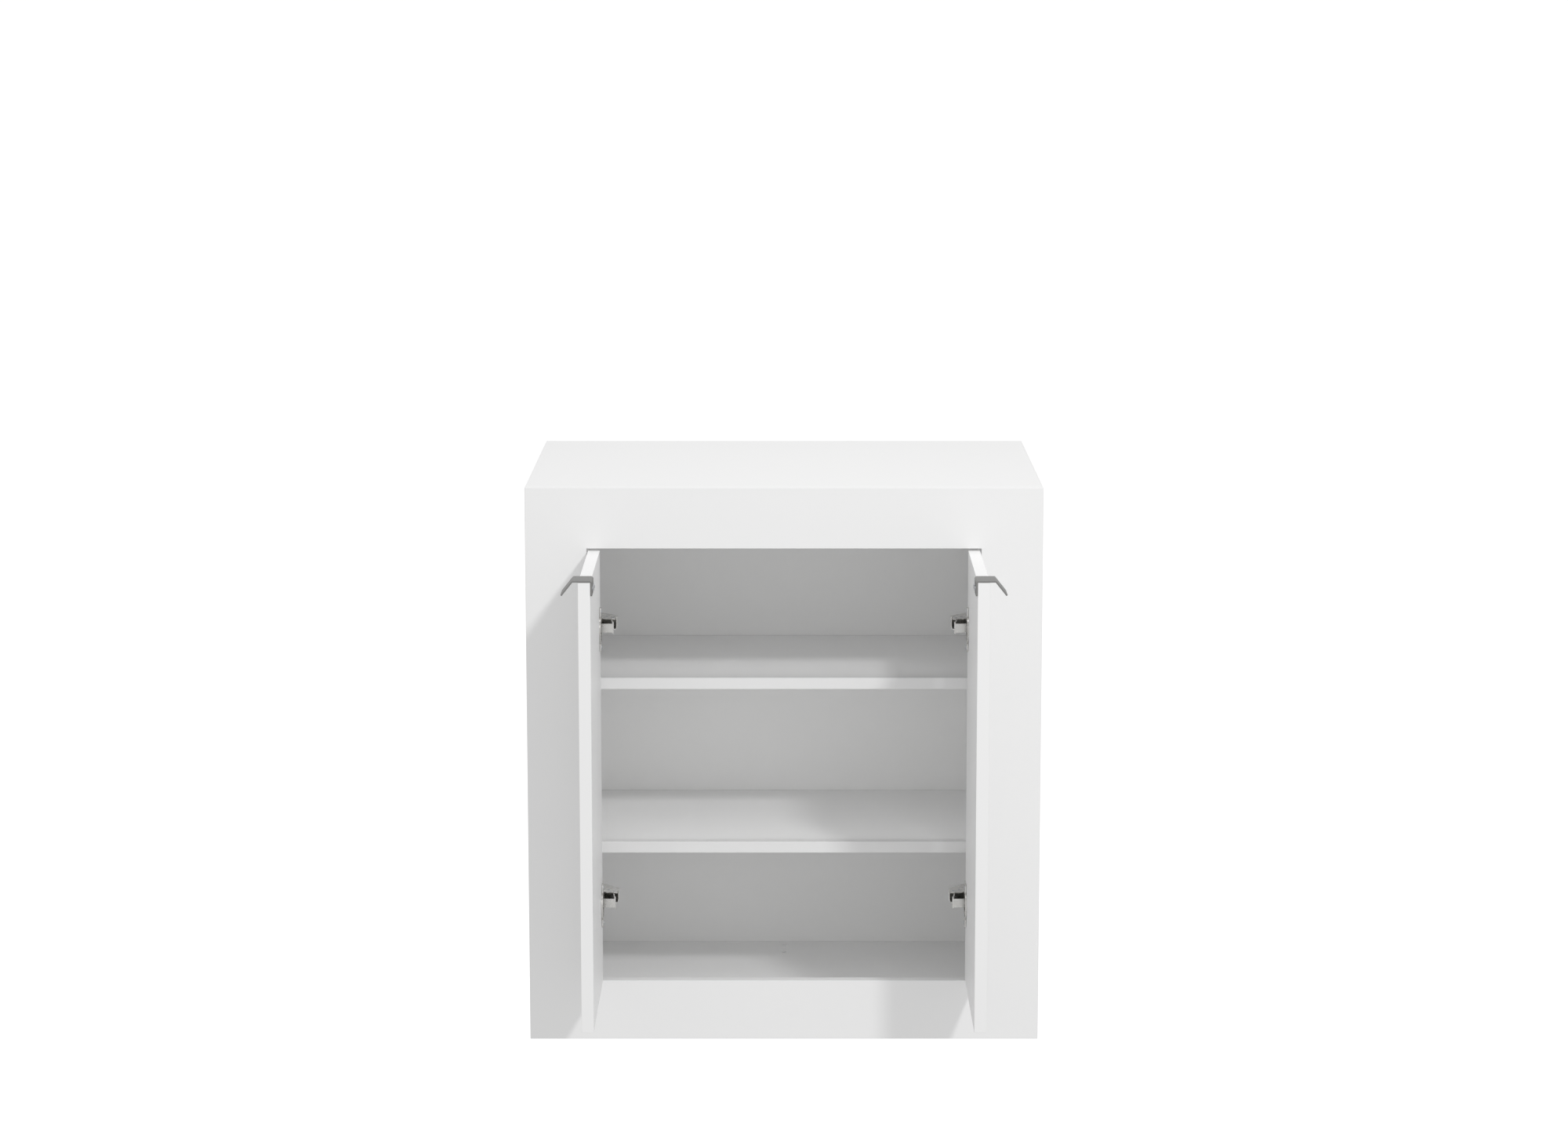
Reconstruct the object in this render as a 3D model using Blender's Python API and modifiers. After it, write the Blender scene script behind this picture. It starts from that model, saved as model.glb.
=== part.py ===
"""Hanging wall cabinet: carcass with a wide front frame, two inset doors on cup hinges, two loose shelves.

Metres, +Z up, +Y into the wall. The origin is the middle of the upper wall rail's rear face.
The doors stand open by 90 degrees. u runs inwards from an edge of the opening, v back from the front plane;
on a door, p runs from its hinge edge and q inwards from its outer face.
"""

import math

import bmesh
import bpy
from mathutils import Matrix, Vector

# Carcass
WIDTH = 0.700
HEIGHT = 0.768
DEPTH = 0.488
BOARD = 0.016
FRAME_THICK = 0.016
FRAME_MEMBER = 0.083
SEAM = 0.0003
EDGE = 0.0005
REAR_VOID = 0.026
BACK_THICK = 0.003
GROOVE_DEPTH = 0.008
BATTEN_DEPTH = 0.100
BATTEN_THICK = 0.016
RAIL_HEIGHT = 0.080
RAIL_THICK = 0.016
FLOOR_HOLE_R = 0.004
FLOOR_HOLE_SPACING = 0.035
FLOOR_HOLE_FROM_BACK = 0.024

# Shelves and the holes they can be moved between
SHELF_SETBACK = 0.130
SHELF_TOPS = {"lower": 0.248, "upper": 0.482}
SHELF_SIDE_PLAY = 0.0005
SHELF_BACK_PLAY = 0.001
PIN_SHANK_R = 0.0025
PIN_STUD_R = 0.0035
PIN_STUD = 0.008
PIN_HOLE_DEPTH = 0.010
PIN_INSET = 0.037
HOLE_PITCH = 0.032
HOLES_EACH_WAY = 2

# Doors
DOOR_THICK = 0.016
DOOR_SIDE_GAP = 0.0021
DOOR_MIDDLE_GAP = 0.0026
DOOR_TOP_GAP = 0.0026
DOOR_BOTTOM_GAP = 0.0024

# Edge-pull handle, bent from one sheet
SHEET = 0.002
HANDLE_LENGTH = 0.040
HANDLE_OVERHANG = 0.0073
LIP_OUT = 0.0144
LIP_DOWN = 0.0181
LEG_DOWN = 0.0190
HANDLE_BEND_R = 0.0022
LEG_CORNER_R = 0.007
LIP_CORNER_R = 0.0015

# Cup hinge
CUP_R = 0.0175
CUP_WALL = 0.001
CUP_DEPTH = 0.0115
CUP_TO_EDGE = 0.005
HINGE_TO_DOOR_TOP = 0.1045
HINGE_TO_DOOR_BOTTOM = 0.110
FLANGE_THICK = 0.002
FLANGE_R = 0.019
WING_REACH = 0.030
WING_HALF = 0.0085
WING_CORNER_R = 0.004
CUP_ROUNDING = 0.0015
FLANGE_ROUNDING = 0.0003
PIN_P = 0.011
PIN_Q = 0.0095
HINGE_PIN_R = 0.00125
HINGE_PIN_HALF = 0.0094
LUG_HALF = 0.0028
LUG_OUT = 0.009
LINK_HALF = 0.006
LINK_REACH = 0.0241
LINK_TAIL = 0.033
LINK_TAIL_LEAN = 0.0035
LINK_BEND_R = 0.001
LINK_SHEET = 0.0014
LINK_EAR_HALF = 0.0078
LINK_EAR_LENGTH = 0.006
EYE_R = 0.0026
ARM_SHEET = 0.0012
ARM_FRONT_GAP = 0.0006
ARM_OPEN_U = 0.0053
ARM_MOUTH = 0.011
ARM_TAIL_ROOM = 0.002
ARM_NECK = 0.020
ARM_NECK_SLOPE = 0.55
ARM_CRANK_END = 0.018
PLATE_FRONT = 0.024
PLATE_LENGTH = 0.046
PLATE_RISE = 0.0137
PLATE_HALF = 0.006
PLATE_WING_THICK = 0.002
PLATE_WING_REACH = 0.025
PLATE_WING_WIDTH = 0.012
PLATE_WING_BACK = 0.013
PLATE_SCREW_SPACING = 0.032
PLAY = 0.0003

# Screws
SHANK_R = 0.00175
HEAD_R = 0.0033
HEAD_RISE = 0.0018
CROSS_HALF_LENGTH = 0.0017
CROSS_HALF_WIDTH = 0.0004
CROSS_DEPTH = 0.001
SCREW_LENGTH = 0.0125
HANDLE_SCREW_SPACING = 0.020

# Hangers, in the void behind the back panel
HANGER_WIDTH = 0.020
HANGER_DEPTH = 0.017
HANGER_HEIGHT = 0.056
HANGER_DROP = 0.006
HANGER_SIDE_GAP = 0.006
HANGER_EDGE = 0.001
HANGER_FLOOR = 0.006
HOOK_WIDTH = 0.012
HOOK_SHEET = 0.002
HOOK_LIP = 0.009
HOOK_DROP = 0.014
HOOK_FOOT = 0.010
ACCESS_HOLE_R = 0.005

# How far a cutter runs past what it cuts, and the step between two faces of joined shapes
OVERRUN = 0.01
STEP = 0.0001

# Worked out from the sizes above
BASE_Z = -(HEIGHT - BOARD - SEAM - RAIL_HEIGHT / 2)
FRONT_Y = -DEPTH
HALF_WIDTH = WIDTH / 2
HALF_INSIDE = HALF_WIDTH - BOARD
HALF_OPENING = HALF_WIDTH - FRAME_MEMBER
CARCASS_V = FRAME_THICK + SEAM
BACK_V = DEPTH - REAR_VOID - BACK_THICK
OPENING_LOW = FRAME_MEMBER
OPENING_HIGH = HEIGHT - FRAME_MEMBER
DOOR_WIDTH = HALF_OPENING - DOOR_SIDE_GAP - DOOR_MIDDLE_GAP / 2
DOOR_LOW = OPENING_LOW + DOOR_BOTTOM_GAP
DOOR_HIGH = OPENING_HIGH - DOOR_TOP_GAP
HINGE_HEIGHTS = {"lower": DOOR_LOW + HINGE_TO_DOOR_BOTTOM, "upper": DOOR_HIGH - HINGE_TO_DOOR_TOP}
CUP_P = CUP_TO_EDGE + CUP_R
PILOT_R = SHANK_R + PLAY
SIDES = {"left": -1, "right": 1}
# The pivot of the link, with the door open
LINK_U = DOOR_SIDE_GAP + PIN_Q
LINK_V = -PIN_P


def clear_scene():
    for obj in list(bpy.data.objects):
        bpy.data.objects.remove(obj, do_unlink=True)


def new_collection(name):
    collection = bpy.data.collections.new(name)
    bpy.context.scene.collection.children.link(collection)
    return collection


def new_material(name, colour, roughness, metallic=0.0):
    material = bpy.data.materials.new(name)
    material.use_nodes = True
    shader = material.node_tree.nodes["Principled BSDF"]
    shader.inputs["Base Color"].default_value = (*colour, 1.0)
    shader.inputs["Roughness"].default_value = roughness
    shader.inputs["Metallic"].default_value = metallic
    material.diffuse_color = (*colour, 1.0)
    return material


def add_object(name, mesh, material=None, parent=None, location=(0, 0, 0)):
    """A part when it has a material, and otherwise a cutter or another helper."""
    obj = bpy.data.objects.new(name, mesh)
    if material:
        mesh.materials.append(material)
        parts.objects.link(obj)
    else:
        helpers.objects.link(obj)
        obj.hide_render = True
        obj.display_type = "WIRE"
    obj.parent = parent
    obj.location = location
    return obj


def mesh_of(name, work):
    mesh = bpy.data.meshes.new(name)
    work.to_mesh(mesh)
    work.free()
    return mesh


def add_box(name, xs, ys, zs, material=None, parent=None, edge=0.0):
    """A box between two values on each axis, with its origin in its middle."""
    low = Vector((min(xs), min(ys), min(zs)))
    high = Vector((max(xs), max(ys), max(zs)))
    work = bmesh.new()
    bmesh.ops.create_cube(work, size=1.0)
    bmesh.ops.scale(work, vec=high - low, verts=work.verts)
    obj = add_object(name, mesh_of(name, work), material, parent, (low + high) / 2)
    if edge:
        add_bevel(obj, edge)
    return obj


def add_rod(name, centre, axis, length, radius, material=None, parent=None, segments=24):
    """A cylinder round its centre, along "X", "Y" or "Z"."""
    work = bmesh.new()
    quarter = math.pi / 2
    turn = {
        "X": Matrix.Rotation(quarter, 3, "Y"), "Y": Matrix.Rotation(quarter, 3, "X"), "Z": Matrix.Identity(3),
    }
    bmesh.ops.create_cone(
        work, cap_ends=True, segments=segments, radius1=radius, radius2=radius, depth=length
    )
    bmesh.ops.rotate(work, cent=(0, 0, 0), matrix=turn[axis], verts=work.verts)
    obj = add_object(name, mesh_of(name, work), material, parent, centre)
    shade_round(obj)
    return obj


def add_outline(name, points, low, high, material=None, parent=None, turn=None):
    """A flat outline in X and Y, filled and carried from low to high along Z, then turned about the origin."""
    curve = bpy.data.curves.new(name, "CURVE")
    curve.dimensions = "2D"
    curve.fill_mode = "BOTH"
    curve.extrude = (high - low) / 2
    spline = curve.splines.new("POLY")
    spline.points.add(len(points) - 1)
    for point, (x, y) in zip(spline.points, points):
        point.co = (x, y, 0, 1)
    spline.use_cyclic_u = True
    drawn = bpy.data.objects.new(name + "_outline", curve)
    helpers.objects.link(drawn)
    graph = bpy.context.evaluated_depsgraph_get()
    mesh = bpy.data.meshes.new_from_object(drawn.evaluated_get(graph))
    bpy.data.objects.remove(drawn)
    work = bmesh.new()
    work.from_mesh(mesh)
    bmesh.ops.remove_doubles(work, verts=work.verts, dist=1e-6)
    bmesh.ops.translate(work, vec=(0, 0, (low + high) / 2), verts=work.verts)
    if turn:
        bmesh.ops.rotate(work, cent=(0, 0, 0), matrix=turn, verts=work.verts)
    bmesh.ops.recalc_face_normals(work, faces=work.faces)
    bpy.data.meshes.remove(mesh)
    return add_object(name, mesh_of(name, work), material, parent)


def add_turned(name, profile, axis, material=None, parent=None, location=(0, 0, 0), segments=40):
    """A profile of (radius, height) points turned round the axis, which is +X or -X of the parent."""
    work = bmesh.new()
    verts = [work.verts.new((radius, 0, height)) for radius, height in profile]
    for first, second in zip(verts, verts[1:]):
        work.edges.new((first, second))
    obj = add_object(name, mesh_of(name, work), material, parent, location)
    obj.rotation_euler = (0, math.pi / 2 * axis, 0)
    screw = obj.modifiers.new("Turn", "SCREW")
    screw.axis = "Z"
    screw.steps = segments
    screw.render_steps = segments
    screw.use_merge_vertices = True
    screw.merge_threshold = 0.00001
    screw.use_normal_flip = True
    screw.use_smooth_shade = True
    return obj


def add_strip(name, profile, low, high, thickness, to_point, material, parent, corners=None):
    """A bent sheet: a profile line carried from low to high, then given its thickness."""
    work = bmesh.new()
    first = [work.verts.new(to_point(x, y, low)) for x, y in profile]
    second = [work.verts.new(to_point(x, y, high)) for x, y in profile]
    for i in range(len(profile) - 1):
        work.faces.new((first[i], first[i + 1], second[i + 1], second[i]))
    for row, index, radius in corners or []:
        bmesh.ops.bevel(
            work,
            geom=[(first, second)[row][index]],
            offset=radius,
            segments=5,
            profile=0.5,
            affect="VERTICES",
        )
    bmesh.ops.recalc_face_normals(work, faces=work.faces)
    obj = add_object(name, mesh_of(name, work), material, parent)
    solid = obj.modifiers.new("Thickness", "SOLIDIFY")
    solid.thickness = thickness
    solid.offset = 0.0
    solid.use_even_offset = True
    return obj


def rounded(points, radius, steps=4):
    """The same line with each inner corner replaced by an arc."""
    line = [Vector(points[0])]
    for before, corner, after in zip(points, points[1:], points[2:]):
        corner = Vector(corner)
        back = (Vector(before) - corner).normalized()
        ahead = (Vector(after) - corner).normalized()
        half = back.angle(ahead) / 2
        centre = corner + (back + ahead).normalized() * radius / math.sin(half)
        start = corner + back * radius / math.tan(half) - centre
        end = corner + ahead * radius / math.tan(half) - centre
        sweep = start.angle_signed(end)
        for i in range(steps + 1):
            turned = Matrix.Rotation(-sweep * i / steps, 2) @ start
            line.append(centre + turned)
    line.append(Vector(points[-1]))
    return [tuple(point) for point in line]


def add_bevel(obj, width, segments=2):
    bevel = obj.modifiers.new("Edge", "BEVEL")
    bevel.width = width
    bevel.segments = segments
    bevel.limit_method = "ANGLE"
    bevel.angle_limit = math.radians(40)


def combine(obj, other, operation="DIFFERENCE"):
    boolean = obj.modifiers.new(other.name, "BOOLEAN")
    boolean.operation = operation
    boolean.solver = "EXACT"
    boolean.object = other


def shade_round(obj):
    for face in obj.data.polygons:
        face.use_smooth = len(face.vertices) < 5


def add_axis(name, location, parent=None):
    empty = bpy.data.objects.new(name, None)
    empty.empty_display_size = 0.03
    parts.objects.link(empty)
    empty.parent = parent
    empty.location = location
    return empty


def at_v(v):
    return FRONT_Y + v


def at_height(height):
    return BASE_Z + height


def add_pin_cutter(name, x, y, z, axis, depth, radius, parent=None):
    return add_rod(name, (x, y, z), axis, 2 * depth, radius, parent=parent, segments=16)


def make_carcass():
    """Side, top and bottom boards, each with a groove for the back panel, then the frame and the rails."""
    ys = (at_v(CARCASS_V), 0)
    groove_ys = (at_v(BACK_V - SEAM), at_v(BACK_V + BACK_THICK + SEAM))
    groove_x = HALF_INSIDE + GROOVE_DEPTH
    side_top = HEIGHT - BOARD - SEAM

    for side, s in SIDES.items():
        panel = add_box(
            f"{side}_side_panel",
            (s * HALF_INSIDE, s * HALF_WIDTH), ys, (at_height(0), at_height(side_top)), white, edge=EDGE,
        )
        groove = add_box(
            f"{side}_side_groove",
            (s * (HALF_INSIDE - BOARD), s * groove_x), groove_ys, (at_height(-BOARD), at_height(HEIGHT)),
        )
        combine(panel, groove)
        for number, (y, z) in enumerate(shelf_hole_places()):
            hole = add_pin_cutter(
                f"{side}_shelf_hole_{number}", s * HALF_INSIDE, y, z, "X", PIN_HOLE_DEPTH, PIN_SHANK_R + PLAY
            )
            combine(panel, hole)

    top = add_box(
        "top_panel", (-HALF_WIDTH, HALF_WIDTH), ys, (at_height(HEIGHT - BOARD), at_height(HEIGHT)), white,
        edge=EDGE,
    )
    combine(top, add_box(
        "top_groove", (-groove_x, groove_x), groove_ys,
        (at_height(HEIGHT - 2 * BOARD), at_height(HEIGHT - BOARD + GROOVE_DEPTH)),
    ))

    inner = HALF_INSIDE - SEAM
    bottom = add_box("bottom_panel", (-inner, inner), ys, (at_height(0), at_height(BOARD)), white, edge=EDGE)
    combine(bottom, add_box(
        "bottom_groove", (-WIDTH, WIDTH), groove_ys, (at_height(BOARD - GROOVE_DEPTH), at_height(2 * BOARD))
    ))
    for number in range(2):
        y = at_v(BACK_V - FLOOR_HOLE_FROM_BACK - number * FLOOR_HOLE_SPACING)
        hole = add_rod(f"floor_hole_{number}", (0, y, at_height(BOARD / 2)), "Z", 2 * BOARD, FLOOR_HOLE_R)
        combine(bottom, hole)

    panel_reach = groove_x - SEAM
    back = add_box(
        "back_panel", (-panel_reach, panel_reach), (at_v(BACK_V), at_v(BACK_V + BACK_THICK)),
        (at_height(BOARD - GROOVE_DEPTH + SEAM), at_height(HEIGHT - BOARD + GROOVE_DEPTH - SEAM)), back_white,
    )
    for side, s in SIDES.items():
        hole = add_rod(
            f"{side}_access_hole", (s * hanger_x(), at_v(BACK_V), at_height(hanger_top() - HANGER_HEIGHT / 3)),
            "Y", 4 * BACK_THICK, ACCESS_HOLE_R,
        )
        combine(back, hole)

    frame = add_box(
        "front_frame", (-HALF_WIDTH, HALF_WIDTH), (at_v(0), at_v(FRAME_THICK)),
        (at_height(0), at_height(HEIGHT)), white,
    )
    combine(frame, add_box(
        "frame_opening", (-HALF_OPENING, HALF_OPENING), (at_v(-FRAME_THICK), at_v(2 * FRAME_THICK)),
        (at_height(OPENING_LOW), at_height(OPENING_HIGH)),
    ))
    add_bevel(frame, EDGE)

    for side, s in SIDES.items():
        batten = add_box(
            f"{side}_hinge_batten",
            (s * HALF_OPENING, s * (HALF_OPENING + BATTEN_THICK)),
            (at_v(CARCASS_V), at_v(CARCASS_V + BATTEN_DEPTH)),
            (at_height(BOARD + SEAM), at_height(HEIGHT - BOARD - SEAM)), white, edge=EDGE,
        )
        for level, height in HINGE_HEIGHTS.items():
            for place, z in plate_screw_heights(height):
                combine(batten, add_pin_cutter(
                    f"{side}_{level}_batten_pilot_{place}", s * HALF_OPENING, at_v(plate_wing_v()),
                    at_height(z), "X", SCREW_LENGTH, PILOT_R,
                ))

    rail_ys = (-RAIL_THICK, 0)
    upper_reach = HALF_INSIDE - HANGER_WIDTH - HANGER_SIDE_GAP
    add_box(
        "upper_wall_rail", (-upper_reach, upper_reach), rail_ys, (-RAIL_HEIGHT / 2, RAIL_HEIGHT / 2), white,
        edge=EDGE,
    )
    low = BOARD + SEAM
    add_box(
        "lower_wall_rail", (-inner, inner), rail_ys, (at_height(low), at_height(low + RAIL_HEIGHT)), white,
        edge=EDGE,
    )


def shelf_hole_places():
    """(y, z) of every hole of one side panel: two columns, with a few positions round each shelf."""
    shelf_back = BACK_V - SHELF_BACK_PLAY
    places = []
    for top in SHELF_TOPS.values():
        for v in (SHELF_SETBACK + PIN_INSET, shelf_back - PIN_INSET):
            for step in range(-HOLES_EACH_WAY, HOLES_EACH_WAY + 1):
                places.append((at_v(v), at_height(pin_height(top) + step * HOLE_PITCH)))
    return places


def pin_height(shelf_top):
    return shelf_top - BOARD - SEAM - PIN_STUD_R


def make_shelves():
    reach = HALF_INSIDE - SHELF_SIDE_PLAY
    front, back = SHELF_SETBACK, BACK_V - SHELF_BACK_PLAY
    for level, top in SHELF_TOPS.items():
        add_box(
            f"{level}_shelf", (-reach, reach), (at_v(front), at_v(back)),
            (at_height(top - BOARD), at_height(top)), white, edge=EDGE,
        )
        for side, s in SIDES.items():
            for place, v in (("front", front + PIN_INSET), ("back", back - PIN_INSET)):
                make_shelf_pin(f"{level}_shelf_pin_{side}_{place}", s, at_v(v), at_height(pin_height(top)))


def make_shelf_pin(name, s, y, z):
    """A turned pin: its shank is in the side panel, and the shelf lies on its stud."""
    shank = PIN_HOLE_DEPTH - 2 * PLAY
    profile = [
        (0, -shank), (PIN_SHANK_R - 0.0005, -shank), (PIN_SHANK_R, -shank + 0.0005), (PIN_SHANK_R, SEAM),
        (PIN_STUD_R, SEAM), (PIN_STUD_R, SEAM + PIN_STUD), (0, SEAM + PIN_STUD),
    ]
    add_turned(name, profile, -s, zinc, location=(s * HALF_INSIDE, y, z), segments=16)


def make_door(side, s):
    """The door and everything that swings with it, round the outer front corner of its hinge edge."""
    axis = add_axis(f"{side}_door_axis", (s * (HALF_OPENING - DOOR_SIDE_GAP), FRONT_Y, at_height(DOOR_LOW)))
    height = DOOR_HIGH - DOOR_LOW
    door = add_box(
        f"{side}_door", (0, -s * DOOR_THICK), (0, -DOOR_WIDTH), (0, height), white, axis, edge=EDGE
    )
    for level, hinge_height in HINGE_HEIGHTS.items():
        combine(door, add_rod(
            f"{side}_{level}_cup_bore", (-s * DOOR_THICK, -CUP_P, hinge_height - DOOR_LOW), "X",
            2 * (CUP_DEPTH + 2 * PLAY), CUP_R + PLAY, parent=axis, segments=40,
        ))
        make_hinge(side, s, level, axis, hinge_height)
    make_handle(side, s, axis, door, height)


def make_handle(side, s, axis, door, height):
    """One bent sheet over the door's top edge: a leg on the inner face, a flat top and a lip to pull."""
    middle = PLAY + SHEET / 2
    leg_q = DOOR_THICK + middle
    line = [
        (leg_q, -LEG_DOWN + middle), (leg_q, middle), (-HANDLE_OVERHANG, middle),
        (-HANDLE_OVERHANG - LIP_OUT, middle - LIP_DOWN),
    ]
    profile = rounded(line, HANDLE_BEND_R)
    last = len(profile) - 1

    def to_point(q, z, p):
        return (-s * q, -p, height + z)

    handle = add_strip(
        f"{side}_handle", profile, DOOR_WIDTH - HANDLE_LENGTH, DOOR_WIDTH, SHEET, to_point, satin_metal, axis,
        corners=[(0, 0, LEG_CORNER_R), (1, 0, LIP_CORNER_R), (0, last, LIP_CORNER_R), (1, last, LIP_CORNER_R)],
    )
    middle_p = DOOR_WIDTH - HANDLE_LENGTH / 2
    screw_z = height - LEG_DOWN / 2
    outside = DOOR_THICK + PLAY + SHEET
    for place, step in (("back", -0.5), ("front", 0.5)):
        p = middle_p + step * HANDLE_SCREW_SPACING
        combine(handle, add_rod(
            f"{side}_handle_hole_{place}", (-s * leg_q, -p, screw_z), "X", 4 * SHEET, SHANK_R + PLAY,
            parent=axis, segments=16,
        ))
        combine(door, add_pin_cutter(
            f"{side}_handle_pilot_{place}", -s * DOOR_THICK, -p, screw_z, "X", SCREW_LENGTH, PILOT_R, axis
        ))
        make_screw(f"{side}_handle_screw_{place}", -s, (-s * (outside + PLAY), -p, screw_z), axis)


def make_screw(name, direction, seat, parent=None):
    """A domed screw with a cross recess. Its head stands on the seat and looks along +X or -X."""
    profile = [
        (0, -SCREW_LENGTH), (SHANK_R, -SCREW_LENGTH + 2 * SHANK_R), (SHANK_R, 0), (HEAD_R, 0),
        (HEAD_R, HEAD_RISE * 0.35), (HEAD_R * 0.8, HEAD_RISE * 0.8), (HEAD_R * 0.4, HEAD_RISE), (0, HEAD_RISE),
    ]
    screw = add_turned(name, profile, direction, zinc, parent, seat, segments=20)
    top = seat[0] + direction * HEAD_RISE
    cross = (CROSS_HALF_LENGTH, CROSS_HALF_WIDTH)
    for number, (half_y, half_z) in enumerate((cross, reversed(cross))):
        combine(screw, add_box(
            f"{name}_recess_{number}", (top - direction * CROSS_DEPTH, top + direction * CROSS_DEPTH),
            (seat[1] - half_y, seat[1] + half_y), (seat[2] - half_z, seat[2] + half_z), parent=parent,
        ))


def make_hinge(side, s, level, axis, hinge_height):
    """Cup and pin on the door, a link that floats between them and the arm, and the arm on its plate."""
    name = f"{side}_{level}_hinge"
    make_cup(name, s, axis, hinge_height - DOOR_LOW)
    link_axis = add_axis(f"{name}_link_axis", (-s * PIN_Q, -PIN_P, hinge_height - DOOR_LOW), axis)
    make_link(name, s, link_axis)
    make_arm(name, s, at_height(hinge_height))
    make_plate(name, s, hinge_height)


def make_cup(name, s, axis, z):
    """The pressed cup with its flange and two lugs, and the pin that they hold."""
    floor = DOOR_THICK - CUP_DEPTH
    low, high = DOOR_THICK + PLAY, DOOR_THICK + PLAY + FLANGE_THICK
    inner = CUP_R - CUP_WALL
    profile = [
        (0, floor), (CUP_R - CUP_ROUNDING, floor), (CUP_R, floor + CUP_ROUNDING), (CUP_R, low), (FLANGE_R, low),
        (FLANGE_R, high - FLANGE_ROUNDING), (FLANGE_R - FLANGE_ROUNDING, high), (inner, high),
        (inner, floor + CUP_WALL),
        (0, floor + CUP_WALL),
    ]
    cup = add_turned(f"{name}_cup", profile, -s, nickel, axis, (0, -CUP_P, z))
    for place, t in (("low", -1), ("high", 1)):
        wing_start = math.sqrt(FLANGE_R**2 - WING_HALF**2) - STEP
        wing = add_box(
            f"{name}_wing_{place}", (-s * (low + STEP), -s * (high - STEP)),
            (-CUP_P - WING_HALF, -CUP_P + WING_HALF), (z + t * wing_start, z + t * WING_REACH), parent=axis,
        )
        bevel_along_x(wing, WING_CORNER_R)
        combine(cup, wing, "UNION")
        lug = add_box(
            f"{name}_lug_{place}", (-s * (floor + CUP_WALL / 2), -s * (PIN_Q + LUG_HALF)),
            (-PIN_P - LUG_HALF, -PIN_P + LUG_HALF), (z + t * (LINK_HALF + PLAY), z + t * LUG_OUT), parent=axis,
        )
        combine(cup, lug, "UNION")
    hole = add_rod(
        f"{name}_pin_hole", (-s * PIN_Q, -PIN_P, z), "Z", 2 * (LUG_OUT + CUP_WALL), HINGE_PIN_R + PLAY,
        parent=axis, segments=16,
    )
    combine(cup, hole)
    for place, t in (("low", -1), ("high", 1)):
        screw_hole = add_rod(
            f"{name}_flange_hole_{place}", (-s * DOOR_THICK, -CUP_P, z + t * (FLANGE_R + WING_REACH) / 2), "X",
            4 * FLANGE_THICK, SHANK_R + PLAY, parent=axis, segments=16,
        )
        combine(cup, screw_hole)
    add_rod(
        f"{name}_pin", (-s * PIN_Q, -PIN_P, z), "Z", 2 * HINGE_PIN_HALF, HINGE_PIN_R, nickel, axis, segments=16
    )


def bevel_along_x(obj, radius):
    """Rounds the four edges of a box that run along X."""
    work = bmesh.new()
    work.from_mesh(obj.data)
    along = [
        edge for edge in work.edges
        if abs(edge.verts[0].co.y - edge.verts[1].co.y) + abs(edge.verts[0].co.z - edge.verts[1].co.z) < 1e-9
    ]
    bmesh.ops.bevel(work, geom=along, offset=radius, segments=4, profile=0.5, affect="EDGES")
    work.to_mesh(obj.data)
    work.free()


def make_link(name, s, link_axis):
    """A bent strip from an eye on the cup's pin out past the door, then back into the arm."""
    line = rounded([(0, 0), (LINK_REACH, 0), (LINK_REACH - LINK_TAIL_LEAN, LINK_TAIL)], LINK_BEND_R)
    line[0] = (HINGE_PIN_R, 0)

    def to_point(u, v, z):
        return (-s * u, v, z)

    link = add_strip(f"{name}_link", line, -LINK_HALF, LINK_HALF, LINK_SHEET, to_point, nickel, link_axis)
    eye = add_rod(f"{name}_eye", (0, 0, 0), "Z", 2 * LINK_HALF - PLAY, EYE_R, parent=link_axis, segments=20)
    combine(link, eye, "UNION")
    half = LINK_SHEET / 2
    ear = add_box(
        f"{name}_ear", (-s * (LINK_REACH - half), -s * (LINK_REACH + half + STEP)),
        (-half - STEP, LINK_EAR_LENGTH), (-LINK_EAR_HALF, LINK_EAR_HALF), parent=link_axis,
    )
    combine(link, ear, "UNION")
    bore = add_rod(
        f"{name}_eye_bore", (0, 0, 0), "Z", 4 * LINK_HALF, HINGE_PIN_R + PLAY, parent=link_axis, segments=16
    )
    combine(link, bore)


def arm_outline(inset):
    """The arm from above in u and v, with the web's side moved in by inset and the open side moved out.

    The web starts behind the tail of the half-closed link, and so it only has to clear the closed link.
    """
    head_u = LINK_U + LINK_REACH + PIN_P - PIN_Q + LINK_SHEET / 2 + PLAY + ARM_SHEET - inset
    web_v = LINK_V + PIN_P + LINK_TAIL + PLAY
    cheek_u = head_u - ARM_SHEET - PLAY
    head_back = LINK_V + PIN_P + PIN_Q + LINK_TAIL + ARM_TAIL_ROOM - inset / 2
    front = DOOR_THICK + PLAY + FLANGE_THICK + ARM_FRONT_GAP
    rear = plate_start() + PLATE_LENGTH
    rear_u = PLATE_RISE + PLAY + ARM_SHEET - inset
    open_u, mouth_u = ARM_OPEN_U, LINK_U + LINK_REACH - ARM_MOUTH
    neck_v = front + (head_u - rear_u) * ARM_NECK_SLOPE + ARM_NECK - inset / 2
    if inset:
        front, rear = front - OVERRUN, rear + OVERRUN
        open_u, mouth_u = open_u - 3 * OVERRUN, mouth_u - 4 * OVERRUN
        head = [(head_u, front)]
    else:
        head = [(cheek_u, front), (cheek_u, web_v), (head_u, web_v)]
    return [
        (open_u, rear), (open_u, plate_start()), (mouth_u, front), *head,
        (head_u, head_back), (rear_u, neck_v + ARM_CRANK_END), (rear_u, rear),
    ]


def plate_start():
    return CARCASS_V + PLATE_FRONT


def plate_wing_v():
    return plate_start() + PLATE_WING_BACK


def plate_screw_heights(height):
    return (("low", height - PLATE_SCREW_SPACING / 2), ("high", height + PLATE_SCREW_SPACING / 2))


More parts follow.
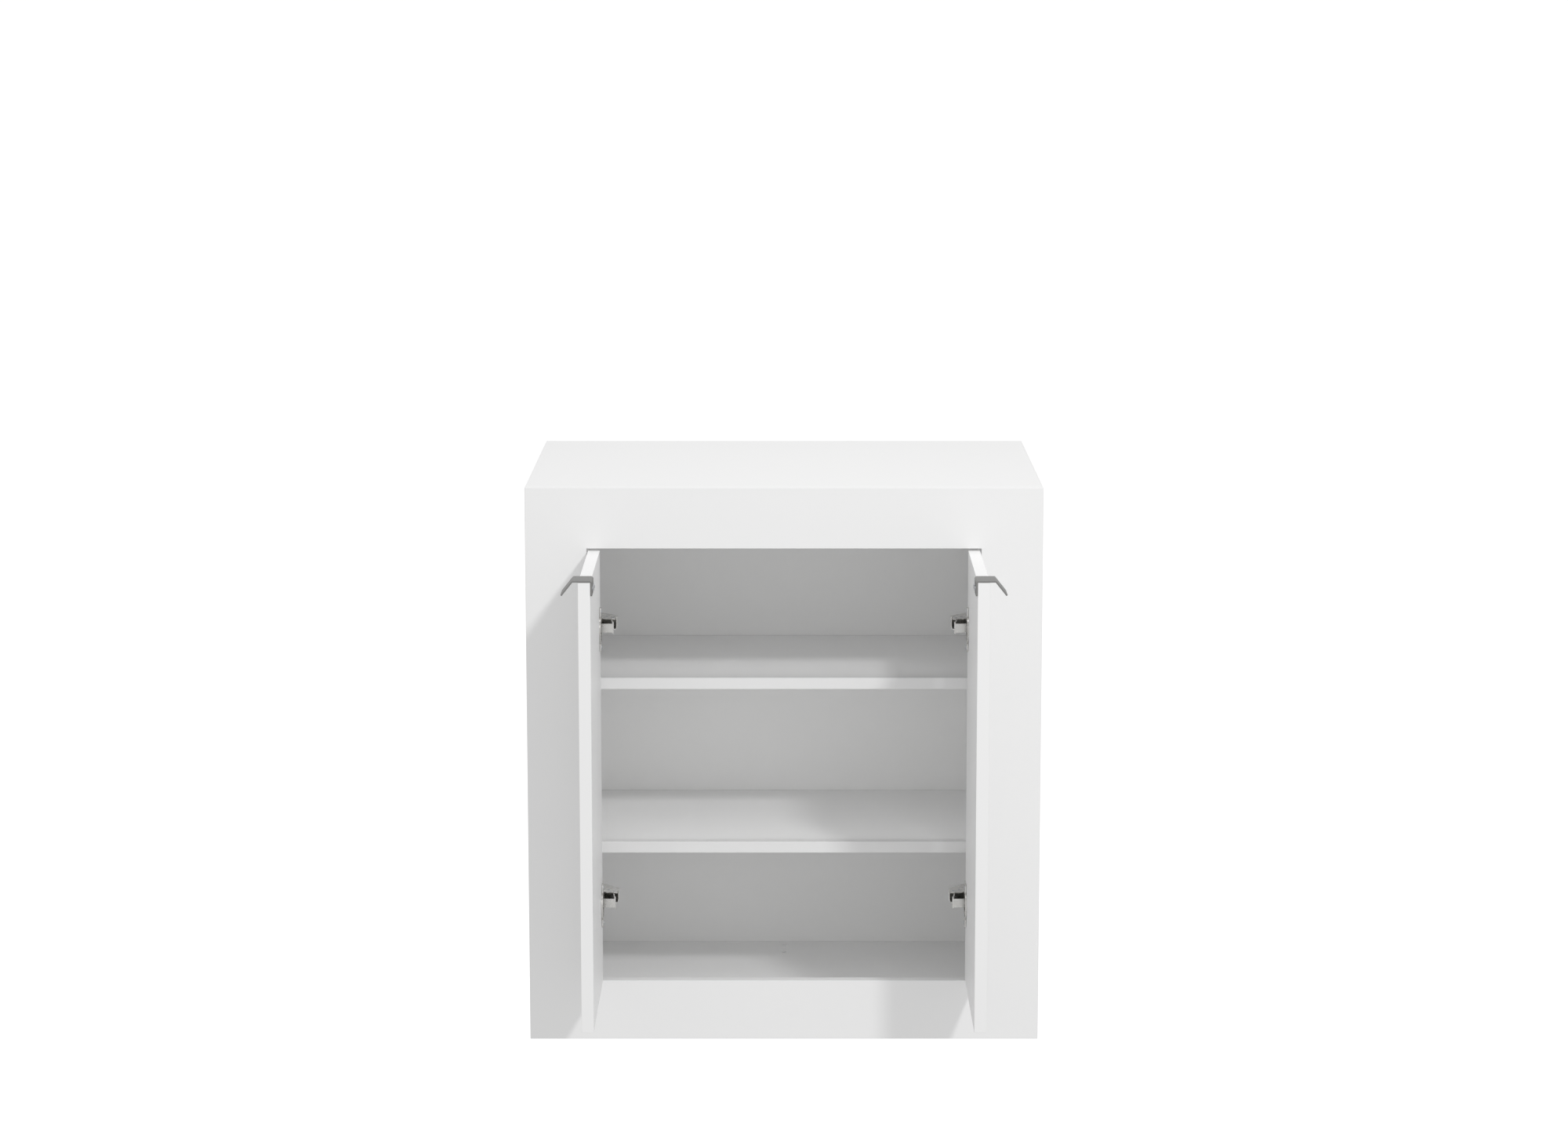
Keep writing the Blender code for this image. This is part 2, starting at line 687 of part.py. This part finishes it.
def make_arm(name, s, z):
    """A cranked channel, open towards the batten. The link's tail moves inside its head."""
    half_in = LINK_HALF + PLAY
    half_out = half_in + ARM_SHEET

    def place(points):
        return [(s * (HALF_OPENING - u), at_v(v)) for u, v in points]

    arm = add_outline(f"{name}_arm", place(arm_outline(0)), z - half_out, z + half_out, nickel)
    hollow = add_outline(f"{name}_arm_hollow", place(arm_outline(ARM_SHEET)), z - half_in, z + half_in)
    combine(arm, hollow)


def make_plate(name, s, height):
    """The mounting plate: a raised block under the arm and two wings, each screwed to the batten."""
    z = at_height(height)
    foot = HALF_OPENING - PLAY
    start = plate_start()
    plate = add_box(
        f"{name}_plate", (s * foot, s * (HALF_OPENING - PLATE_RISE)), (at_v(start), at_v(start + PLATE_LENGTH)),
        (z - PLATE_HALF, z + PLATE_HALF), nickel,
    )
    wing_v = plate_wing_v()
    wing = add_box(
        f"{name}_plate_wings", (s * foot, s * (foot - PLATE_WING_THICK)),
        (at_v(wing_v - PLATE_WING_WIDTH / 2), at_v(wing_v + PLATE_WING_WIDTH / 2)),
        (z - PLATE_WING_REACH, z + PLATE_WING_REACH),
    )
    bevel_along_x(wing, WING_CORNER_R)
    combine(plate, wing, "UNION")
    for place, screw_height in plate_screw_heights(height):
        centre = (s * foot, at_v(wing_v), at_height(screw_height))
        combine(plate, add_rod(
            f"{name}_plate_hole_{place}", centre, "X", 4 * PLATE_WING_THICK, SHANK_R + PLAY, segments=16
        ))
        seat = (s * (foot - PLATE_WING_THICK - PLAY), at_v(wing_v), at_height(screw_height))
        make_screw(f"{name}_plate_screw_{place}", -s, seat)


def hanger_x():
    return HALF_INSIDE - SEAM - HANGER_WIDTH / 2


def hanger_top():
    return HEIGHT - BOARD - HANGER_DROP


def make_hanger(side, s):
    """A hanger body on the side panel behind the back, and the steel hook that catches a wall plate."""
    low, high = hanger_top() - HANGER_HEIGHT, hanger_top()
    front = BACK_V + BACK_THICK + SEAM
    outer = HALF_INSIDE - SEAM
    body = add_box(
        f"{side}_hanger_body", (s * outer, s * (outer - HANGER_WIDTH)),
        (at_v(front), at_v(front + HANGER_DEPTH)), (at_height(low), at_height(high)), plastic, edge=HANGER_EDGE,
    )
    tongue_v = front + HANGER_DEPTH / 2
    rear_v = DEPTH - PLAY
    hook_top = high - HOOK_DROP
    outline = [
        (tongue_v, hook_top), (rear_v, hook_top), (rear_v, hook_top - HOOK_LIP),
        (rear_v - HOOK_SHEET, hook_top - HOOK_LIP), (rear_v - HOOK_SHEET, hook_top - HOOK_SHEET),
        (tongue_v + HOOK_SHEET, hook_top - HOOK_SHEET), (tongue_v + HOOK_SHEET, low + HOOK_FOOT),
        (tongue_v, low + HOOK_FOOT),
    ]
    stand_up = Matrix(((0, 0, 1), (1, 0, 0), (0, 1, 0)))
    centre = s * hanger_x()
    add_outline(
        f"{side}_hanger_hook", [(at_v(v), at_height(h)) for v, h in outline],
        centre - HOOK_WIDTH / 2, centre + HOOK_WIDTH / 2, zinc, turn=stand_up,
    )
    slot = add_box(
        f"{side}_hanger_slot", (centre - HOOK_WIDTH / 2 - PLAY, centre + HOOK_WIDTH / 2 + PLAY),
        (at_v(tongue_v - PLAY), at_v(tongue_v + HOOK_SHEET + PLAY)),
        (at_height(low + HANGER_FLOOR), at_height(high + OVERRUN)),
    )
    mouth = add_box(
        f"{side}_hanger_mouth", (centre - HOOK_WIDTH / 2 - PLAY, centre + HOOK_WIDTH / 2 + PLAY),
        (at_v(tongue_v), at_v(DEPTH)), (at_height(hook_top - HOOK_SHEET - PLAY), at_height(high + OVERRUN)),
    )
    combine(body, slot)
    combine(body, mouth)


clear_scene()
parts = new_collection("hanging_wall_cabinet")
helpers = new_collection("cutters")
white = new_material("white_board", (0.80, 0.80, 0.79), 0.45)
back_white = new_material("white_back_board", (0.78, 0.78, 0.77), 0.55)
satin_metal = new_material("satin_metal", (0.55, 0.55, 0.55), 0.35, 1.0)
nickel = new_material("nickel_plate", (0.66, 0.65, 0.62), 0.25, 1.0)
zinc = new_material("zinc_plate", (0.60, 0.60, 0.62), 0.35, 1.0)
plastic = new_material("white_plastic", (0.75, 0.75, 0.74), 0.4)

make_carcass()
make_shelves()
for side_name, sign in SIDES.items():
    make_door(side_name, sign)
    make_hanger(side_name, sign)
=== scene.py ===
import math

import bmesh
import bpy
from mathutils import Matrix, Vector


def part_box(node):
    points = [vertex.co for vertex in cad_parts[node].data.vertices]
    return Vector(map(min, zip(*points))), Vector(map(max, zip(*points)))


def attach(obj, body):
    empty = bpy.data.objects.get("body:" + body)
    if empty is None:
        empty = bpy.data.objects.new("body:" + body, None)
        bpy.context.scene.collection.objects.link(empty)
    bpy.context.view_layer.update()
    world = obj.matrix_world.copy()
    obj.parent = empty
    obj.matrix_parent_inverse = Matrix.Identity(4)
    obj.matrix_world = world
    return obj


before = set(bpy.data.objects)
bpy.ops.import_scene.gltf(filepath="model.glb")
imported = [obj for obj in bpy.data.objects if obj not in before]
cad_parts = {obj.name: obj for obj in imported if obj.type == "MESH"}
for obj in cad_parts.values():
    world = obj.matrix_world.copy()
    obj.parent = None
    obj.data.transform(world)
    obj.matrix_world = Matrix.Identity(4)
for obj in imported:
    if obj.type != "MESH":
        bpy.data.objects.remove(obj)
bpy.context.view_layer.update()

sides = {"left": -1, "right": 1}
levels = ("lower", "upper")

# the cabinet's planes, read from its front frame
frameLow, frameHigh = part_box("front_frame")
frontY, baseZ, topZ = frameLow.y, frameLow.z, frameHigh.z

# camera: metres from the front plane and the base, degrees downwards, millimetres
lens = {"distance": 5.103, "height": 1.498, "pitch": 9.38, "focal": 87.8, "sensor": 36}


def makeCamera():
    data = bpy.data.cameras.new("camera")
    data.lens = lens["focal"]
    data.sensor_width = lens["sensor"]
    camera = bpy.data.objects.new("camera", data)
    camera.location = (0, frontY - lens["distance"], baseZ + lens["height"])
    camera.rotation_euler = (math.radians(90 - lens["pitch"]), 0, 0)
    bpy.context.scene.collection.objects.link(camera)
    bpy.context.scene.camera = camera


# light and floor: watts, metres, and strengths from 0 to 1
studio = {
    "skyLight": 0.60,
    "skySeen": 1.0,
    "key": {"power": 47.0, "place": (1.42, -3.49, 2.24), "size": 0.34, "round": True},
    "broad": {"power": 20.0, "place": (0.0, -4.2, 0.4), "size": 6.0},
    "overhead": {"power": 14.0, "place": (0.0, -0.1, 2.2), "size": 1.5},
    "inside": {
        "power": 0.108,
        "heights": (0.124, 0.357, 0.617),
        "size": (0.6, 0.19),
        "behindFront": 0.14,
    },
    "floorDrop": 1.35,
    "floorSize": 600.0,
    "floorColour": (0.94, 0.94, 0.94),
    "floorShade": 0.985,
    "floorCloud": 0.8,
    "floorRough": (0.85, 0.1),
    "floorGlow": 0.5,
}


class Wire:
    # a socket that takes part in sums, each of which adds a Math node
    def __init__(self, finish, socket):
        self.finish = finish
        self.socket = socket

    def sum(self, operation, first, second=0.0, clamp=False):
        return self.finish.node(
            "ShaderNodeMath", {"operation": operation, "use_clamp": clamp}, {0: first, 1: second}
        )

    def __add__(self, other):
        return self.sum("ADD", self, other)

    def __radd__(self, other):
        return self.sum("ADD", other, self)

    def __sub__(self, other):
        return self.sum("SUBTRACT", self, other)

    def __rsub__(self, other):
        return self.sum("SUBTRACT", other, self)

    def __mul__(self, other):
        return self.sum("MULTIPLY", self, other)

    def __rmul__(self, other):
        return self.sum("MULTIPLY", other, self)

    def __truediv__(self, other):
        return self.sum("DIVIDE", self, other)

    def __gt__(self, other):
        return self.sum("GREATER_THAN", self, other)

    def __abs__(self):
        return self.sum("ABSOLUTE", self)

    def clamped(self):
        return self.sum("ADD", self, 0.0, clamp=True)


class Finish:
    # a material under construction, with a Principled shader at its end
    def __init__(self, name, **constants):
        self.material = bpy.data.materials.new(name)
        self.material.use_nodes = True
        self.tree = self.material.node_tree
        self.shader = self.tree.nodes["Principled BSDF"]
        for socket, value in constants.items():
            self.shader.inputs[socket.replace("_", " ")].default_value = value
        self.place = self.node("ShaderNodeTexCoord", out="Object")
        self.facing = self.node("ShaderNodeTexCoord", out="Normal")

    def node(self, kind, settings=None, sockets=None, out=0):
        made = self.tree.nodes.new(kind)
        for name, value in (settings or {}).items():
            setattr(made, name, value)
        for name, value in (sockets or {}).items():
            self.plug(made.inputs[name], value)
        return Wire(self, made.outputs[out])

    def plug(self, socket, value):
        if isinstance(value, Wire):
            self.tree.links.new(value.socket, socket)
        elif socket.type == "RGBA":
            socket.default_value = (*value, 1.0)
        else:
            socket.default_value = value

    def set(self, **sockets):
        for name, value in sockets.items():
            self.plug(self.shader.inputs[name.replace("_", " ")], value)
        return self

    def noise(self, scale, detail=3.0, rough=0.5, stretch=(1, 1, 1)):
        spread = self.node("ShaderNodeMapping", {}, {"Vector": self.place, "Scale": stretch})
        sockets = {"Vector": spread, "Scale": scale, "Detail": detail, "Roughness": rough}
        return self.node("ShaderNodeTexNoise", {}, sockets)

    def mix(self, factor, first, second):
        sockets = {0: factor, 6: first, 7: second}  # the colour inputs of a Mix node
        return self.node("ShaderNodeMix", {"data_type": "RGBA"}, sockets, out=2)

    def axes(self, vector):
        split = self.node("ShaderNodeSeparateXYZ", {}, {0: vector})
        node = split.socket.node
        return [Wire(self, node.outputs[i]) for i in range(3)]

    def bump(self, height, strength, depth):
        sockets = {"Height": height, "Strength": strength, "Distance": depth}
        return self.node("ShaderNodeBump", {}, sockets)


# white melamine board with thin edge bands
board = {
    "colour": (0.932, 0.932, 0.931),
    "warm": (0.916, 0.915, 0.911),
    "bandSeam": (0.62, 0.61, 0.59),
    "bandThick": 0.001,
    "seamHalf": 0.00009,
    "seamInk": 0.6,
    "rough": 0.36,
    "cloudScale": 3.0,
    "cloudRough": 0.04,
    "grainScale": 900.0,
    "grainRough": 0.08,
    "grainBump": 0.35,
    "grainDepth": 0.00006,
}


def boardFinish(node, banded):
    # banded names the axes whose edges carry a band
    low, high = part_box(node)
    size = high - low
    thin = min(range(3), key=lambda i: size[i])
    finish = Finish("whiteBoard_" + node)
    cloud = finish.noise(board["cloudScale"], 2.0)
    pebble = finish.noise(board["grainScale"], 2.0, 0.6)
    colour = finish.mix(cloud * 0.5, board["colour"], board["warm"])
    if banded:
        place = finish.axes(finish.place)
        facing = finish.axes(finish.facing)
        onFace = abs(facing[thin]) > 0.7
        seam = None
        for axis in banded:
            toEdge = size[axis] / 2 - abs(place[axis] - (low[axis] + high[axis]) / 2)
            line = (1.0 - abs(toEdge - board["bandThick"]) / board["seamHalf"]).clamped()
            seam = line if seam is None else (seam + line).clamped()
        colour = finish.mix(seam * onFace * board["seamInk"], colour, board["bandSeam"])
    relief = finish.bump(pebble, board["grainBump"], board["grainDepth"])
    rough = board["rough"] + pebble * board["grainRough"] + cloud * board["cloudRough"]
    return finish.set(Base_Color=colour, Roughness=rough, Normal=relief).material


# thin back board, painted white in front and raw fibre behind
backBoard = {
    "colour": (0.92, 0.92, 0.915),
    "fibre": (0.36, 0.24, 0.14),
    "fibreDark": (0.25, 0.16, 0.09),
    "fibreScale": 260.0,
    "blotchScale": 14.0,
    "rough": (0.5, 0.15),
    "bump": (0.3, 0.0001),
}


def backFinish():
    finish = Finish("backBoard")
    fibres = finish.noise(backBoard["fibreScale"], 5.0, 0.7)
    blotch = finish.noise(backBoard["blotchScale"], 3.0)
    facing = finish.axes(finish.facing)
    pale = (fibres * 0.7 + blotch * 0.5).clamped()
    raw = finish.mix(pale, backBoard["fibreDark"], backBoard["fibre"])
    colour = finish.mix(facing[1] > 0.5, backBoard["colour"], raw)
    least, spread = backBoard["rough"]
    relief = finish.bump(fibres, *backBoard["bump"])
    return finish.set(Base_Color=colour, Roughness=least + fibres * spread, Normal=relief).material


# satin steel of the handles: brushed along their length
satin = {
    "colour": (0.328, 0.326, 0.32),
    "dark": (0.264, 0.262, 0.256),
    "rough": 0.4,
    "streakScale": 700.0,
    "streakStretch": (1.0, 0.03, 1.0),
    "streakRough": 0.14,
    "markScale": 40.0,
    "markRough": 0.06,
    "bump": (0.25, 0.00005),
}


def satinFinish():
    finish = Finish("satinSteel", Metallic=1.0)
    streaks = finish.noise(satin["streakScale"], 4.0, 0.6, satin["streakStretch"])
    marks = finish.noise(satin["markScale"], 3.0)
    colour = finish.mix((streaks * 0.8 + marks * 0.2).clamped(), satin["dark"], satin["colour"])
    rough = satin["rough"] + streaks * satin["streakRough"] - marks * satin["markRough"]
    relief = finish.bump(streaks, *satin["bump"])
    return finish.set(Base_Color=colour, Roughness=rough, Normal=relief).material


# plated steel of the hinges and fasteners
plating = {
    "cloudScale": 90.0,
    "cloudRough": 0.16,
    "speckScale": 1400.0,
    "bump": (0.15, 0.00003),
    "nickel": {"colour": (0.78, 0.775, 0.755), "dull": (0.62, 0.61, 0.59), "rough": 0.2},
    "zinc": {"colour": (0.66, 0.67, 0.69), "dull": (0.50, 0.51, 0.53), "rough": 0.3},
}


def platedFinish(kind):
    look = plating[kind]
    finish = Finish(kind + "Plate", Metallic=1.0)
    cloud = finish.noise(plating["cloudScale"], 4.0, 0.6)
    speck = finish.noise(plating["speckScale"], 2.0)
    colour = finish.mix(cloud, look["dull"], look["colour"])
    rough = look["rough"] + cloud * plating["cloudRough"]
    relief = finish.bump(speck, *plating["bump"])
    return finish.set(Base_Color=colour, Roughness=rough, Normal=relief).material


# moulded plastic of the hanger bodies
moulded = {
    "colour": (0.74, 0.74, 0.73),
    "shade": (0.68, 0.68, 0.66),
    "rough": (0.42, 0.1),
    "cloudScale": 60.0,
    "grainScale": 1800.0,
    "bump": (0.3, 0.00004),
}


def plasticFinish():
    finish = Finish("whitePlastic")
    cloud = finish.noise(moulded["cloudScale"], 3.0)
    grain = finish.noise(moulded["grainScale"], 2.0)
    least, spread = moulded["rough"]
    return finish.set(
        Base_Color=finish.mix(cloud, moulded["shade"], moulded["colour"]),
        Roughness=least + grain * spread,
        Normal=finish.bump(grain, *moulded["bump"]),
    ).material


def floorFinish():
    # pale enough to run into the sky
    finish = Finish("paleFloor", Emission_Color=(1, 1, 1, 1), Emission_Strength=studio["floorGlow"])
    cloud = finish.noise(studio["floorCloud"], 3.0)
    shade = tuple(studio["floorShade"] * part for part in studio["floorColour"])
    least, spread = studio["floorRough"]
    return finish.set(
        Base_Color=finish.mix(cloud, shade, studio["floorColour"]), Roughness=least + cloud * spread
    ).material


def addLamp(name, power):
    data = bpy.data.lights.new(name, "AREA")
    data.energy = power
    lamp = bpy.data.objects.new(name, data)
    lamp.visible_camera = False
    bpy.context.scene.collection.objects.link(lamp)
    return lamp


def addPanelLight(name, look):
    # a flat light turned towards the cabinet
    lamp = addLamp(name, look["power"])
    lamp.data.size = look["size"]
    lamp.data.shape = "DISK" if "round" in look else "SQUARE"
    lamp.location = look["place"]
    toCabinet = Vector((0, frontY / 2, (baseZ + topZ) / 2)) - lamp.location
    lamp.rotation_euler = toCabinet.to_track_quat("-Z", "Y").to_euler()


def addInsideLights():
    # a low fill in each compartment, shining onto the back board
    look = studio["inside"]
    for number, height in enumerate(look["heights"]):
        lamp = addLamp(f"insideLight{number}", look["power"])
        lamp.data.shape = "RECTANGLE"
        lamp.data.size, lamp.data.size_y = look["size"]
        lamp.location = (0, frontY + look["behindFront"], baseZ + height)
        lamp.rotation_euler = (math.radians(90), 0, 0)


def makeSky():
    # white where it is seen, and dimmer as a light
    world = bpy.data.worlds.new("studio")
    bpy.context.scene.world = world
    world.use_nodes = True
    tree = world.node_tree
    light = tree.nodes["Background"]
    light.inputs["Color"].default_value = (1, 1, 1, 1)
    light.inputs["Strength"].default_value = studio["skyLight"]
    seen = tree.nodes.new("ShaderNodeBackground")
    seen.inputs["Color"].default_value = (1, 1, 1, 1)
    seen.inputs["Strength"].default_value = studio["skySeen"]
    path = tree.nodes.new("ShaderNodeLightPath")
    either = tree.nodes.new("ShaderNodeMixShader")
    tree.links.new(path.outputs["Is Camera Ray"], either.inputs[0])
    tree.links.new(light.outputs[0], either.inputs[1])
    tree.links.new(seen.outputs[0], either.inputs[2])
    tree.links.new(either.outputs[0], tree.nodes["World Output"].inputs[0])


def makeStudio():
    bpy.context.scene.view_settings.view_transform = "Standard"
    makeSky()
    for name in ("key", "broad", "overhead"):
        addPanelLight(name + "Light", studio[name])
    addInsideLights()

    work = bmesh.new()
    bmesh.ops.create_grid(work, x_segments=4, y_segments=4, size=studio["floorSize"] / 2)
    mesh = bpy.data.meshes.new("floor")
    work.to_mesh(mesh)
    work.free()
    floor = bpy.data.objects.new("floor", mesh)
    floor.location = (0, 0, baseZ - studio["floorDrop"])
    bpy.context.scene.collection.objects.link(floor)
    mesh.materials.append(floorFinish())
    floor.visible_diffuse = floor.visible_glossy = False  # its glow stays off the cabinet


def dress(nodes, material):
    for name in nodes:
        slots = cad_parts[name].data.materials
        slots.clear()
        slots.append(material)


# the axes whose edges carry a band, for each board
bandedBoards = {
    "front_frame": (0, 2),
    "left_door": (1, 2),
    "right_door": (1, 2),
    "upper_shelf": (1,),
    "lower_shelf": (1,),
    "top_panel": (0, 1),
    "bottom_panel": (1,),
    "left_side_panel": (1,),
    "right_side_panel": (1,),
    "left_hinge_batten": (1,),
    "right_hinge_batten": (1,),
    "upper_wall_rail": (),
    "lower_wall_rail": (),
}


def makeFinishes():
    for node, banded in bandedBoards.items():
        dress([node], boardFinish(node, banded))
    nickel, zinc, plastic = platedFinish("nickel"), platedFinish("zinc"), plasticFinish()
    dress(["back_panel"], backFinish())
    dress([side + "_handle" for side in sides], satinFinish())
    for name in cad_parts:
        if name.endswith("_hanger_body"):
            dress([name], plastic)
        elif "screw" in name or "shelf_pin" in name or name.endswith("_hook"):
            dress([name], zinc)
        elif "_hinge_" in name and not name.endswith("batten"):
            dress([name], nickel)
    return zinc


# small screws and rivets, drawn about their seats and looking along +X
fixings = {
    "flangeScrew": {"radius": 0.0031, "rise": 0.0012, "cross": (0.0018, 0.00035)},
    "adjustScrew": {"radius": 0.0032, "rise": 0.0022, "cross": (0.0021, 0.0004)},
    "lockScrew": {"radius": 0.0036, "rise": 0.0018, "cross": (0.0023, 0.00045)},
    "rivet": {"radius": 0.0019, "rise": 0.0006},
}
crossDepth = 0.6  # of a head's rise
dome = {"rimSteps": 40, "rings": 6, "flat": 0.35, "weld": 1e-6, "sharpFrom": 35}


def inOrder(name, mesh):
    # the same corners and faces in a new mesh, listed the same way in each run
    corners = sorted(mesh.vertices, key=lambda corner: tuple(corner.co))
    rank = {corner.index: number for number, corner in enumerate(corners)}
    faces = []
    for face in mesh.polygons:
        loop = [rank[corner] for corner in face.vertices]
        first = loop.index(min(loop))
        faces.append(loop[first:] + loop[:first])
    ordered = bpy.data.meshes.new(name)
    ordered.from_pydata([corner.co for corner in corners], [], sorted(faces))
    bpy.data.meshes.remove(mesh)
    return ordered


def domeMesh(name, look):
    # a flat-topped dome: rows of radius and height, from its seat to its middle
    radius, rise, flat = look["radius"], look["rise"], dome["flat"]
    rows = [(radius, 0), (radius, rise * flat)]
    for step in range(1, dome["rings"]):
        turn = math.pi / 2 * step / dome["rings"]
        across = flat + (1 - flat) * math.cos(turn)
        height = flat + (1 - flat) * math.sin(turn)
        rows.append((radius * across, rise * height))
    rows.append((0, rise))
    work = bmesh.new()
    line = [work.verts.new((height, across, 0)) for across, height in rows]
    edges = [work.edges.new(pair) for pair in zip(line, line[1:])]
    bmesh.ops.spin(
        work,
        geom=line + edges,
        cent=(0, 0, 0),
        axis=(1, 0, 0),
        angle=2 * math.pi,
        steps=dome["rimSteps"],
    )
    bmesh.ops.remove_doubles(work, verts=work.verts, dist=dome["weld"])
    bmesh.ops.holes_fill(work, edges=[edge for edge in work.edges if edge.is_boundary])
    bmesh.ops.recalc_face_normals(work, faces=work.faces)
    mesh = bpy.data.meshes.new(name + "Spun")
    work.to_mesh(mesh)
    work.free()
    return inOrder(name, mesh)


def crossedMesh(name, look):
    # the dome with a cross cut into its top
    whole = bpy.data.objects.new(name + "Whole", domeMesh(name + "Whole", look))
    bpy.context.scene.collection.objects.link(whole)
    cutters = []
    length, width = look["cross"]
    for halfY, halfZ in ((length, width), (width, length)):
        work = bmesh.new()
        bmesh.ops.create_cube(work, size=2)
        bmesh.ops.scale(work, vec=(look["rise"] * crossDepth, halfY, halfZ), verts=work.verts)
        bmesh.ops.translate(work, vec=(look["rise"], 0, 0), verts=work.verts)
        mesh = bpy.data.meshes.new(name + "Cutter")
        work.to_mesh(mesh)
        work.free()
        cutter = bpy.data.objects.new(name + "Cutter", mesh)
        bpy.context.scene.collection.objects.link(cutter)
        cutters.append(cutter)
        cut = whole.modifiers.new("cross", "BOOLEAN")
        cut.object = cutter
    graph = bpy.context.evaluated_depsgraph_get()
    mesh = bpy.data.meshes.new_from_object(whole.evaluated_get(graph))
    for spent in [whole, *cutters]:
        bpy.data.objects.remove(spent)
    return inOrder(name, mesh)


def makeFixingMeshes(metal):
    meshes = {}
    for name, look in fixings.items():
        meshes[name] = crossedMesh(name, look) if "cross" in look else domeMesh(name, look)
        meshes[name].materials.clear()
        meshes[name].materials.append(metal)
        meshes[name].set_sharp_from_angle(angle=math.radians(dome["sharpFrom"]))
    return meshes


def addFixing(name, mesh, seat, facing, body):
    # a fixing on its seat, turned to look along facing
    piece = bpy.data.objects.new(name, mesh)
    piece.location = seat
    piece.rotation_euler = Vector(facing).to_track_quat("X", "Z").to_euler()
    bpy.context.scene.collection.objects.link(piece)
    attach(piece, body)


# distances on a hinge: flange screws from the cup's middle, arm screws from the arm's rear end,
# rivets inwards and backwards from the arm's front corner
hingeFixings = {
    "flange": 0.0245,
    "adjust": 0.029,
    "lock": 0.010,
    "rivets": ((0.006, 0.0075), (0.014, 0.0145)),
    "webSheet": 0.0015,
}


def makeHingeFixings(meshes):
    for side, sign in sides.items():
        for level in levels:
            hinge = f"{side}_{level}_hinge"
            label = side + level.capitalize()
            inwards = (-sign, 0, 0)
            low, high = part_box(hinge + "_cup")
            inner = low.x if sign > 0 else high.x
            cup = (low + high) / 2
            for place, up in (("Low", -1), ("High", 1)):
                seat = (inner, cup.y, cup.z + up * hingeFixings["flange"])
                name = f"{label}FlangeScrew{place}"
                addFixing(name, meshes["flangeScrew"], seat, inwards, f"{side}_door_leaf")

            plateLow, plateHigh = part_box(hinge + "_plate")
            web = (plateLow.x if sign > 0 else plateHigh.x) - sign * hingeFixings["webSheet"]
            low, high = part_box(hinge + "_arm")
            for kind in ("adjust", "lock"):
                seat = (web, high.y - hingeFixings[kind], (low.z + high.z) / 2)
                name = f"{label}{kind.capitalize()}Screw"
                addFixing(name, meshes[kind + "Screw"], seat, inwards, "cabinet")
            head = low.x if sign > 0 else high.x
            for number, (inside, back) in enumerate(hingeFixings["rivets"]):
                for place, z, up in (("Low", low.z, -1), ("High", high.z, 1)):
                    seat = (head + sign * inside, low.y + back, z)
                    name = f"{label}Rivet{number}{place}"
                    addFixing(name, meshes["rivet"], seat, (0, 0, up), "cabinet")


makeCamera()
makeStudio()
zincPlate = makeFinishes()
print("camera, light and finishes are in")

fixingMeshes = makeFixingMeshes(zincPlate)
makeHingeFixings(fixingMeshes)
print("hinge fixings are in")
